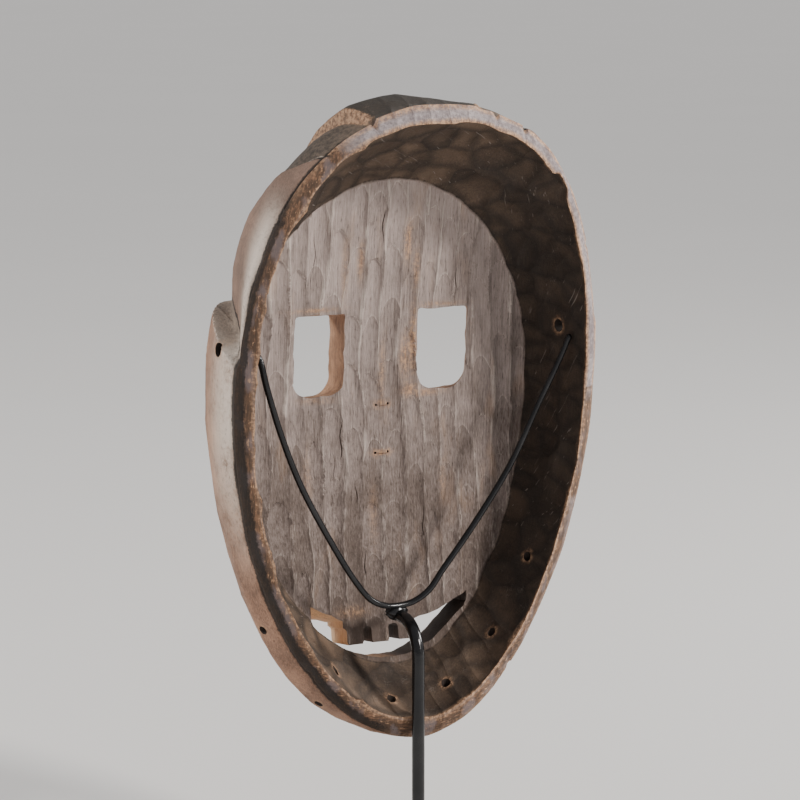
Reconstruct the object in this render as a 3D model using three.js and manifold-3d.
// Carved wooden face mask on its steel display stand.
// Millimetres, +Z up. The face looks along -Y and the hollow back along +Y.
// The origin is under the middle of the stand's foot plate.
import * as THREE from 'three';
import { mergeVertices } from 'three/addons/utils/BufferGeometryUtils.js';
import Module from 'manifold-3d';

const wasm = await Module();
wasm.setup();

// Stand: a plate, an upright bent forward at its top, and a bent wire brazed across the upright's end.
// The wire's route is in the mask's frame, from the left temple down across the upright and up again.
const FOOT = { width: 130, depth: 120, thick: 12, corner: 5, chamfer: 1.2 };
const STEM = {
  radius: 3, behindMiddle: 23.3, topZ: 142.5, bendRadius: 16, bendSteps: 8, nose: 6, sides: 12, steps: 34,
};
const PRONG = {
  radius: 1.5, sides: 8, steps: 46,
  route: [
    [86, -29, 26], [81, -28.6, 26], [77, -23.5, 23.5], [73, -20.5, 8], [66.4, -20.5, -12],
    [55.7, -20.5, -38], [40.2, -20.5, -66], [25.5, -20.5, -89], [17, -20.5, -98.6], [9, -20.5, -102],
    [2.8, -20.5, -102.4], [-4.5, -20.5, -101.2], [-12.5, -20.5, -96.4], [-19.5, -20.5, -87],
    [-35.3, -20.5, -66], [-53.7, -20.5, -38], [-66.6, -19.8, -10], [-76.3, -18, 12], [-81, -17, 24.5],
  ],
};
const CLEAR = 0.3;

// Where the mask's own frame sits: x to the wearer's left, z up along the rim, y negative in front of it
const MASK_SEAT = { x: -2.8, y: 30, z: 248, leanDegrees: 4 };

// Rim: two eggs, the inner edge and the outer edge, on a surface that bows forward at the temples.
// Each pair of powers is for the wearer's left and right side, which were carved a little uneven.
const INNER_RIM = {
  half: 84.7, top: 130, bottom: 152.5, topPower: [2.35, 2.45], bottomPower: [2.05, 1.8],
};
const OUTER_RIM = {
  half: 91.2, top: 136.5, bottom: 162.2, topPower: [2.25, 2.42], bottomPower: [1.95, 1.78],
};
const RIM_BEVEL = 5;
const RIM_ROUND = 0.9;
const BOW = 7;
const BEND = 3.5;
const REACH = 150;

// Hollow: a steep wall down to a nearly flat floor with its own edge
const FLOOR_EDGE = { half: 76.5, top: 96, bottom: 135, topPower: [1.95, 1.95], bottomPower: [1.95, 1.95] };
const FLOOR = { deepest: 54, deepestZ: 20, riseUp: 0.00045, riseDown: 0.0008, dish: 1.5 };
const WALL_SWEEP = 1.5;

// Face block: depth of the front, and how square its turn into the sides is
const FRONT = { deepest: 77, deepestZ: 30, fallUp: 0.0026, fallDown: 0.00085 };
const TURN_POWER = { side: 3.4, ends: 3 };
const TURN = { faceEdge: 45, zonesEnd: [38, 50], reliefStarts: [34, 46] };

// Raised zones of the outside, in degrees round the rim and millimetres forward from it
const CREST = {
  middle: 86, half: 16, spread: 0.3, atRim: 1.2, leftHeight: 8.5, rightHeight: 1.5, falls: [70, 105],
  hairline: 92,
};
const BAND = { left: 55.1, right: 118, slope: -0.55, height: 1, swell: 3, swellAt: -3, swellWidth: 13 };
const SHOULDER = { at: 58, width: 17, left: 3.2, right: 0.5 };
const NOTCH = { width: 13, depth: 6 };
const CHEEK = { left: 9.1, right: 166.2, slope: 0.22, atRim: 1, height: 4.2 };
const JAW = { at: -52, width: 26, height: 6 };
const ZONE_RUN = 15;
const ZONE_BLUR = 1.6;

// Openings, where they meet the floor of the hollow, and their slant through the wood
const CUT_SLANT = Math.tan(THREE.MathUtils.degToRad(13));
const EYE = {
  inner: 19, outer: 44.4, top: 33, bottom: -6.6, cornerTop: 1.2, cornerBottom: 9, flare: 8, thick: 16,
};
const MOUTH = {
  left: 39.6, right: -43, upper: -117.5, upperRise: 0.0076, lower: -133.3, lowerRise: 0.0127,
  toothTip: -125.3, gum: -108, thick: 21, cornerDrop: 5, back: 5, steps: 12,
};
const TEETH = [[12.6, 21.6], [-0.9, 8.6], [-12.8, -5.4]];
const TEMPLE_HOLE = { radius: 3, from: 60, to: 110, y: -29, z: 26, sides: 12 };
const CHIN_HOLES = {
  count: 6, first: -41, pitch: -20.5, radius: 2.2, along: 0.42, into: 5, out: 30, sides: 8,
};
const CUT_BACK = 12;
const CUT_FORE = 16;
const CORNER_STEPS = 3;
const TOOTH_OVERCUT = 1;

// Features of the face, all measured in the mask's frame
const BROW = { z: 49, starts: [3, 9], ends: [54, 64], width: 6.5, height: 5, droop: 0.0045, middle: 26 };
const SOCKET = { x: 32, z: 15, halfX: 25, halfZ: 29, edge: [0.75, 1.15], underBrow: [-8, 3], depth: 6.5 };
const LID = { edge: [2, 8], height: 2.6 };
const NOSE = {
  top: 47, bottom: -50, topHalf: 6.5, bottomHalf: 15, topHeight: 5, tipHeight: 17, power: 2.2,
  end: 5, fade: 8,
};
const NOSTRIL = { x: 12, z: -42, radius: 8, height: 4 };
const CHEEKBONE = { x: 46, z: -34, radius: 30, height: 3 };
const LIP = { width: 7.5, height: 6.5 };
const CHIN = { z: -147, radius: 26, height: 4 };

// Mesh density
const MERGE_WITHIN = 1e-4;
const COLUMNS = 100;
const SIDE_ROWS = 7;
const FACE_ROWS = 13;
const WALL_ROWS = 5;
const FLOOR_ROWS = 4;

const WOOD = new THREE.MeshStandardMaterial({ name: 'carved_wood', color: 0x6f5d4f, roughness: 0.85 });
const STEEL = new THREE.MeshStandardMaterial({
  name: 'black_steel', color: 0x0d0d0e, roughness: 0.35, metalness: 0.6,
});

const rad = THREE.MathUtils.degToRad;
const deg = THREE.MathUtils.radToDeg;
const clamp = THREE.MathUtils.clamp;
const lerp = THREE.MathUtils.lerp;
const smooth = THREE.MathUtils.smoothstep;
const bump = (distance, radius) => Math.exp(-((distance / radius) ** 2));

// A point of an egg at angle t: 0 is the wearer's left, a quarter turn is the top.
function eggPoint(egg, t) {
  const c = Math.cos(t);
  const s = Math.sin(t);
  const power = (s >= 0 ? egg.topPower : egg.bottomPower)[c >= 0 ? 0 : 1];
  const reach = s >= 0 ? egg.top : egg.bottom;
  const k = (Math.abs(c) ** power + Math.abs(s) ** power) ** (-1 / power);
  const z = reach * s * k;
  return { x: egg.half * c * k - BEND * (z / REACH) ** 2, z };
}

// The rim's plane, bowed forward between crown and chin
const rimY = (z) => -BOW * (1 - (z / REACH) ** 2);

// Depth of the hollow's floor, shallower towards the chin
function floorDepth(z) {
  const rise = z < FLOOR.deepestZ ? FLOOR.riseDown : FLOOR.riseUp;
  return FLOOR.deepest - rise * (z - FLOOR.deepestZ) ** 2;
}

// Depth of the face block before its features
function frontDepth(z) {
  const fall = z < FRONT.deepestZ ? FRONT.fallDown : FRONT.fallUp;
  return FRONT.deepest - fall * (z - FRONT.deepestZ) ** 2;
}

// Edge of the eye opening as a signed distance, negative inside, at the face of the block
function eyeDistance(x, z) {
  const drop = EYE.thick * CUT_SLANT;
  const middleX = (EYE.inner + EYE.outer + EYE.flare) / 2;
  const middleZ = (EYE.top + EYE.bottom) / 2 - drop;
  const dx = Math.abs(Math.abs(x) - middleX) - (EYE.outer + EYE.flare - EYE.inner) / 2;
  const dz = Math.abs(z - middleZ) - (EYE.top - EYE.bottom) / 2;
  return Math.hypot(Math.max(dx, 0), Math.max(dz, 0)) + Math.min(Math.max(dx, dz), 0);
}

// Edge of the mouth opening as a rough signed distance at the face of the block
function mouthDistance(x, z) {
  const drop = MOUTH.thick * CUT_SLANT;
  const half = (MOUTH.left - MOUTH.right) / 2;
  const dx = Math.abs(x - (MOUTH.left + MOUTH.right) / 2) - half;
  const across = clamp(x, MOUTH.right, MOUTH.left);
  const upper = MOUTH.upper + MOUTH.upperRise * across ** 2 - drop;
  const lower = MOUTH.lower + MOUTH.lowerRise * across ** 2 - drop;
  const dz = Math.max(z - upper, lower - z);
  return Math.hypot(Math.max(dx, 0), Math.max(dz, 0)) + Math.min(Math.max(dx, dz), 0);
}

// Height of the carved features in front of the face block
function relief(x, z) {
  const side = Math.abs(x);
  let height = 0;
  const browZ = BROW.z - BROW.droop * (side - BROW.middle) ** 2;
  const browEnds = smooth(side, ...BROW.starts) * (1 - smooth(side, ...BROW.ends));
  height += BROW.height * bump(z - browZ, BROW.width) * browEnds;
  const socket = Math.hypot((side - SOCKET.x) / SOCKET.halfX, (z - SOCKET.z) / SOCKET.halfZ);
  const underBrow = 1 - smooth(z - browZ, ...SOCKET.underBrow);
  height -= SOCKET.depth * (1 - smooth(socket, ...SOCKET.edge)) * underBrow;
  height += LID.height * (1 - smooth(eyeDistance(x, z), ...LID.edge));
  height += CHEEKBONE.height * bump(Math.hypot(side - CHEEKBONE.x, z - CHEEKBONE.z), CHEEKBONE.radius);
  const down = clamp((NOSE.top - z) / (NOSE.top - NOSE.bottom), 0, 1);
  const half = lerp(NOSE.topHalf, NOSE.bottomHalf, down);
  const ridge = lerp(NOSE.topHeight, NOSE.tipHeight, down);
  const tip = smooth(z, NOSE.bottom - NOSE.end, NOSE.bottom);
  const root = 1 - smooth(z, NOSE.top, NOSE.top + NOSE.fade);
  const across = Math.max(0, 1 - (side / half) ** NOSE.power);
  const nostril = NOSTRIL.height * bump(Math.hypot(side - NOSTRIL.x, z - NOSTRIL.z), NOSTRIL.radius);
  height += tip * root * Math.max(ridge * across, nostril);
  const lip = mouthDistance(x, z);
  height += LIP.height * Math.sqrt(Math.max(0, 1 - (Math.max(lip, 0) / LIP.width) ** 2));
  height += CHIN.height * bump(Math.hypot(x, z - CHIN.z), CHIN.radius);
  return height;
}

// How far a zone of the outside stands out, at t degrees round and so far forward of the rim
function zoneHeight(t, forward, z, onFront) {
  const away = clamp(forward / ZONE_RUN, 0, 1);
  const crestHalf = CREST.half + CREST.spread * forward;
  const inCrest = 1 - smooth(Math.abs(t - CREST.middle), crestHalf - ZONE_BLUR, crestHalf + ZONE_BLUR);
  const side = t > 90 || t < -90 ? -1 : 1;
  const fromTop = side > 0 ? t : (t < 0 ? -180 - t : 180 - t);
  const bandEdge = (side > 0 ? BAND.left : 180 - BAND.right) + BAND.slope * forward * (1 - onFront);
  const cheekEdge = (side > 0 ? CHEEK.left : 180 - CHEEK.right) + CHEEK.slope * forward;
  const inCheek = 1 - smooth(fromTop, cheekEdge - ZONE_BLUR, cheekEdge + ZONE_BLUR);
  const inTemple = (1 - smooth(fromTop, bandEdge - ZONE_BLUR, bandEdge + ZONE_BLUR)) * (1 - inCheek);
  const hair = smooth(z, CREST.hairline - ZONE_BLUR, CREST.hairline + ZONE_BLUR);
  const crestHeight = lerp(CREST.leftHeight, CREST.rightHeight, smooth(t, ...CREST.falls));
  const crest = inCrest * lerp(CREST.atRim, crestHeight, away) * lerp(1, hair, onFront);
  const temple = BAND.height + BAND.swell * bump(fromTop - bandEdge - BAND.swellAt, BAND.swellWidth)
    - NOTCH.depth * bump(fromTop - cheekEdge, NOTCH.width);
  const cheek = CHEEK.height + JAW.height * bump(fromTop - JAW.at, JAW.width);
  const shoulderHeight = side > 0 ? SHOULDER.left : SHOULDER.right;
  const shoulder = shoulderHeight * bump(fromTop - SHOULDER.at, SHOULDER.width) * (1 - inCrest);
  const sides = (shoulder + inTemple * temple) * away + inCheek * lerp(CHEEK.atRim, cheek, away);
  return crest + sides * (1 - onFront);
}

// One point of the outside: t is the angle round, and turn runs from the rim (0) to the middle (90 degrees)
function outsidePoint(t, turn) {
  const edge = eggPoint(OUTER_RIM, t);
  const s = Math.sin(t);
  const power = lerp(TURN_POWER.side, TURN_POWER.ends, s ** 4);
  const [c, d] = [Math.max(0, Math.cos(rad(turn))), Math.sin(rad(turn))];
  const k = (c ** power + d ** power) ** (-1 / power);
  const size = Math.hypot(c ** (power - 1), d ** (power - 1));
  const outward = c ** (power - 1) / size;
  const forward = d ** (power - 1) / size;
  const edgeY = rimY(edge.z) - RIM_BEVEL;
  const far = Math.hypot(edge.x, edge.z);
  const z = edge.z * c * k;
  const y = lerp(edgeY, -frontDepth(z), d * k);
  const lift = zoneHeight(deg(t), edgeY - y, z, smooth(turn, ...TURN.zonesEnd));
  const place = [edge.x * c * k + (edge.x / far) * lift * outward, z + (edge.z / far) * lift * outward];
  return [place[0], y - lift * forward - relief(...place) * smooth(turn, ...TURN.reliefStarts), place[1]];
}

// One point of the wall of the hollow, from the rim (0) to the edge of the floor (1)
function wallPoint(t, along) {
  const edge = eggPoint(INNER_RIM, t);
  const foot = eggPoint(FLOOR_EDGE, t);
  const sweep = along ** WALL_SWEEP;
  return [
    lerp(edge.x, foot.x, sweep),
    lerp(rimY(edge.z), -floorDepth(foot.z), along),
    lerp(edge.z, foot.z, sweep),
  ];
}

// One point of the floor, from its edge (0) to its middle (1)
function floorPoint(t, along) {
  const foot = eggPoint(FLOOR_EDGE, t);
  const x = foot.x * (1 - along);
  const z = foot.z * (1 - along);
  return [x, -floorDepth(z) - FLOOR.dish * (1 - (1 - along) ** 2), z];
}

// Turns of the rows on the outside: even steps down the side, then even steps across the face
function outsideTurns() {
  const side = Array.from({ length: SIDE_ROWS }, (_, i) => (TURN.faceEdge * i) / SIDE_ROWS);
  const face = Array.from({ length: FACE_ROWS }, (_, i) => 90 - deg(Math.atan(1 - i / FACE_ROWS)));
  return [...side, ...face];
}

// Rings of points from the middle of the face, over the rim, to the middle of the floor
function maskRings() {
  const angles = Array.from({ length: COLUMNS }, (_, i) => -Math.PI + (2 * Math.PI * i) / COLUMNS);
  const rings = outsideTurns().reverse().map((turn) => angles.map((t) => outsidePoint(t, turn)));
  rings.push(angles.map((t) => {
    const [a, b] = [outsidePoint(t, 0), wallPoint(t, 0)];
    return [lerp(a[0], b[0], 0.5), lerp(a[1], b[1], 0.5) + RIM_ROUND, lerp(a[2], b[2], 0.5)];
  }));
  for (let row = 0; row < WALL_ROWS; row += 1) {
    rings.push(angles.map((t) => wallPoint(t, row / WALL_ROWS)));
  }
  for (let row = 0; row < FLOOR_ROWS; row += 1) {
    rings.push(angles.map((t) => floorPoint(t, row / FLOOR_ROWS)));
  }
  return rings;
}

// Closed surface through rings of equal length, with a point at each end
function skin(rings, first, last) {
  const count = rings[0].length;
  const points = [first, ...rings.flat(), last];
  const faces = [];
  const at = (ring, i) => 1 + ring * count + (i % count);
  for (let i = 0; i < count; i += 1) {
    faces.push(0, at(0, i + 1), at(0, i));
    for (let ring = 0; ring < rings.length - 1; ring += 1) {
      const [a, b, c, d] = [at(ring, i), at(ring, i + 1), at(ring + 1, i + 1), at(ring + 1, i)];
      faces.push(a, b, c, a, c, d);
    }
    faces.push(points.length - 1, at(rings.length - 1, i), at(rings.length - 1, i + 1));
  }
  return outward(points, faces);
}

// Geometry whose faces all point out, whichever way round its rings were given
function outward(points, faces) {
  let volume = 0;
  for (let i = 0; i < faces.length; i += 3) {
    const [a, b, c] = [0, 1, 2].map((k) => new THREE.Vector3(...points[faces[i + k]]));
    volume += a.dot(b.cross(c));
  }
  const geometry = new THREE.BufferGeometry();
  geometry.setAttribute('position', new THREE.Float32BufferAttribute(points.flat(), 3));
  geometry.setIndex(volume > 0 ? faces : [...faces].reverse());
  return geometry;
}

// A block between two outlines of the same length, both lists of [x, y, z]
function loft(near, far) {
  const middle = (outline) => [0, 1, 2]
    .map((axis) => outline.reduce((sum, point) => sum + point[axis], 0) / outline.length);
  return skin([near, far], middle(near), middle(far));
}

// A cutter whose outline(d) gives its [x, z] points at d forward of the floor at depth floorY
function cutter(outline, floorY, back, forward) {
  const at = (d) => outline(d).map(([x, z]) => [x, -floorY - d, z - CUT_SLANT * d]);
  return toSolid(loft(at(-back), at(forward)));
}

function toSolid(geometry) {
  const bare = geometry.clone();
  for (const name of ['normal', 'uv']) bare.deleteAttribute(name);
  const merged = mergeVertices(bare, MERGE_WITHIN);
  const mesh = new wasm.Mesh({
    numProp: 3,
    vertProperties: new Float32Array(merged.attributes.position.array),
    triVerts: new Uint32Array(merged.index.array),
  });
  return new wasm.Manifold(mesh);
}

function toGeometry(solid) {
  const mesh = solid.getMesh();
  const geometry = new THREE.BufferGeometry();
  geometry.setAttribute('position', new THREE.BufferAttribute(mesh.vertProperties.slice(), 3));
  geometry.setIndex(new THREE.BufferAttribute(mesh.triVerts.slice(), 1));
  return geometry;
}

// Outline of a box with round corners, as [x, z] points
function roundedOutline(x0, x1, z0, z1, bottomRadius, topRadius) {
  const corners = [
    [x1 - bottomRadius, z0 + bottomRadius, bottomRadius, -90],
    [x1 - topRadius, z1 - topRadius, topRadius, 0],
    [x0 + topRadius, z1 - topRadius, topRadius, 90],
    [x0 + bottomRadius, z0 + bottomRadius, bottomRadius, 180],
  ];
  return corners.flatMap(([x, z, radius, start]) => Array.from({ length: CORNER_STEPS + 1 }, (_, i) => {
    const angle = rad(start + (90 * i) / CORNER_STEPS);
    return [x + radius * Math.cos(angle), z + radius * Math.sin(angle)];
  }));
}

// One eye opening: straight on the nose side, flaring outwards on the temple side
function eyeCutter(side) {
  const outline = (d) => {
    const outer = EYE.outer + (EYE.flare * d) / EYE.thick;
    return roundedOutline(EYE.inner, outer, EYE.bottom, EYE.top, EYE.cornerBottom, EYE.cornerTop)
      .map(([x, z]) => [side * x, z]);
  };
  return cutter(outline, floorDepth(EYE.top / 2), CUT_BACK, EYE.thick + CUT_FORE);
}

// The crescent of the mouth with its upper teeth left standing
function mouthCutter() {
  const across = Array.from(
    { length: MOUTH.steps + 1 },
    (_, i) => lerp(MOUTH.left, MOUTH.right, i / MOUTH.steps),
  );
  const crescent = (d) => {
    const drop = (x) => (MOUTH.cornerDrop * d * (x / MOUTH.left) ** 2) / MOUTH.thick;
    const lower = across.map((x) => [x, MOUTH.lower + MOUTH.lowerRise * x * x]);
    const upper = across.map((x) => [x, MOUTH.upper + MOUTH.upperRise * x * x - drop(x)]).reverse();
    return [...lower, ...upper];
  };
  const depth = floorDepth(MOUTH.toothTip);
  const reach = MOUTH.thick + CUT_FORE;
  return TEETH.reduce((hole, [right, left]) => {
    const { toothTip, gum } = MOUTH;
    const tooth = () => [[right, toothTip], [left, toothTip], [left, gum], [right, gum]];
    return hole.subtract(cutter(tooth, depth, MOUTH.back + TOOTH_OVERCUT, reach + TOOTH_OVERCUT));
  }, cutter(crescent, depth, MOUTH.back, reach));
}

// A round cutter of the given radius from one point to another
function drill(from, to, radius, sides) {
  const [a, b] = [new THREE.Vector3(...from), new THREE.Vector3(...to)];
  const geometry = new THREE.CylinderGeometry(radius, radius, a.distanceTo(b), sides);
  const turn = new THREE.Quaternion();
  turn.setFromUnitVectors(new THREE.Vector3(0, 1, 0), b.clone().sub(a).normalize());
  geometry.applyQuaternion(turn).translate(...a.add(b).multiplyScalar(0.5).toArray());
  return toSolid(geometry);
}

// Lashing holes: one through each temple, and a row round the chin
function lashingCutters() {
  const { from, to, y, z, radius, sides } = TEMPLE_HOLE;
  const temples = [-1, 1].map((side) => drill([side * from, y, z], [side * to, y, z], radius, sides));
  const chin = Array.from({ length: CHIN_HOLES.count }, (_, i) => {
    const t = rad(CHIN_HOLES.first + CHIN_HOLES.pitch * i);
    const [x, inY, inZ] = wallPoint(t, CHIN_HOLES.along);
    const [c, s] = [Math.cos(t), Math.sin(t)];
    const start = [x - CHIN_HOLES.into * c, inY, inZ - CHIN_HOLES.into * s];
    const end = [x + CHIN_HOLES.out * c, inY, inZ + CHIN_HOLES.out * s];
    return drill(start, end, CHIN_HOLES.radius, CHIN_HOLES.sides);
  });
  return [...temples, ...chin];
}

function maskGeometry() {
  const rings = maskRings();
  const [, faceY] = outsidePoint(0, 90);
  const block = toSolid(skin(rings, [0, faceY, 0], floorPoint(0, 1)));
  const cuts = [eyeCutter(-1), eyeCutter(1), mouthCutter(), ...lashingCutters()];
  return toGeometry(cuts.reduce((wood, cut) => wood.subtract(cut), block));
}

// A round bar along a path
function bar(path, radius, sides, steps) {
  const section = new THREE.Shape(Array.from({ length: sides }, (_, i) => {
    const angle = (2 * Math.PI * i) / sides;
    return new THREE.Vector2(radius * Math.cos(angle), radius * Math.sin(angle));
  }));
  return new THREE.ExtrudeGeometry(section, { steps, bevelEnabled: false, extrudePath: path });
}

// The upright: out of the foot, straight up behind the chin, then over and forward into the hollow
function stemPath() {
  const bend = STEM.bendRadius;
  const y = STEM.behindMiddle;
  const top = STEM.topZ;
  const path = new THREE.CurvePath();
  const upright = [new THREE.Vector3(0, y, FOOT.thick + CLEAR), new THREE.Vector3(0, y, top - bend)];
  path.add(new THREE.LineCurve3(...upright));
  const arc = Array.from({ length: STEM.bendSteps + 1 }, (_, i) => {
    const angle = rad((90 * i) / STEM.bendSteps);
    return new THREE.Vector3(0, y - bend * (1 - Math.cos(angle)), top - bend * (1 - Math.sin(angle)));
  });
  path.add(new THREE.CatmullRomCurve3(arc));
  const nose = [new THREE.Vector3(0, y - bend, top), new THREE.Vector3(0, y - bend - STEM.nose, top)];
  path.add(new THREE.LineCurve3(...nose));
  return path;
}

// The bent wire of the cradle
function prongPath() {
  const points = PRONG.route.map((point) => new THREE.Vector3(...point));
  return new THREE.CatmullRomCurve3(points, false, 'centripetal');
}

function footGeometry() {
  const { width, depth, corner, chamfer, thick } = FOOT;
  const outline = roundedOutline(-width / 2, width / 2, -depth / 2, depth / 2, corner, corner)
    .map(([x, y]) => new THREE.Vector2(x, y));
  const bevel = { bevelThickness: chamfer, bevelSize: chamfer, bevelOffset: -chamfer, bevelSegments: 1 };
  const plate = new THREE.ExtrudeGeometry(new THREE.Shape(outline), { depth: thick - 2 * chamfer, ...bevel });
  return plate.translate(0, 0, chamfer);
}

function named(name, geometry, material) {
  const mesh = new THREE.Mesh(geometry, material);
  mesh.name = name;
  return mesh;
}

const seat = new THREE.Group();
seat.position.set(MASK_SEAT.x, MASK_SEAT.y, MASK_SEAT.z);
seat.rotation.x = -rad(MASK_SEAT.leanDegrees);
seat.add(named('mask', maskGeometry(), WOOD));
seat.add(named('cradle_prongs', bar(prongPath(), PRONG.radius, PRONG.sides, PRONG.steps), STEEL));

const model = new THREE.Group();
model.add(seat);
model.add(named('stand_stem', bar(stemPath(), STEM.radius, STEM.sides, STEM.steps), STEEL));
model.add(named('stand_foot', footGeometry(), STEEL));

export default model;
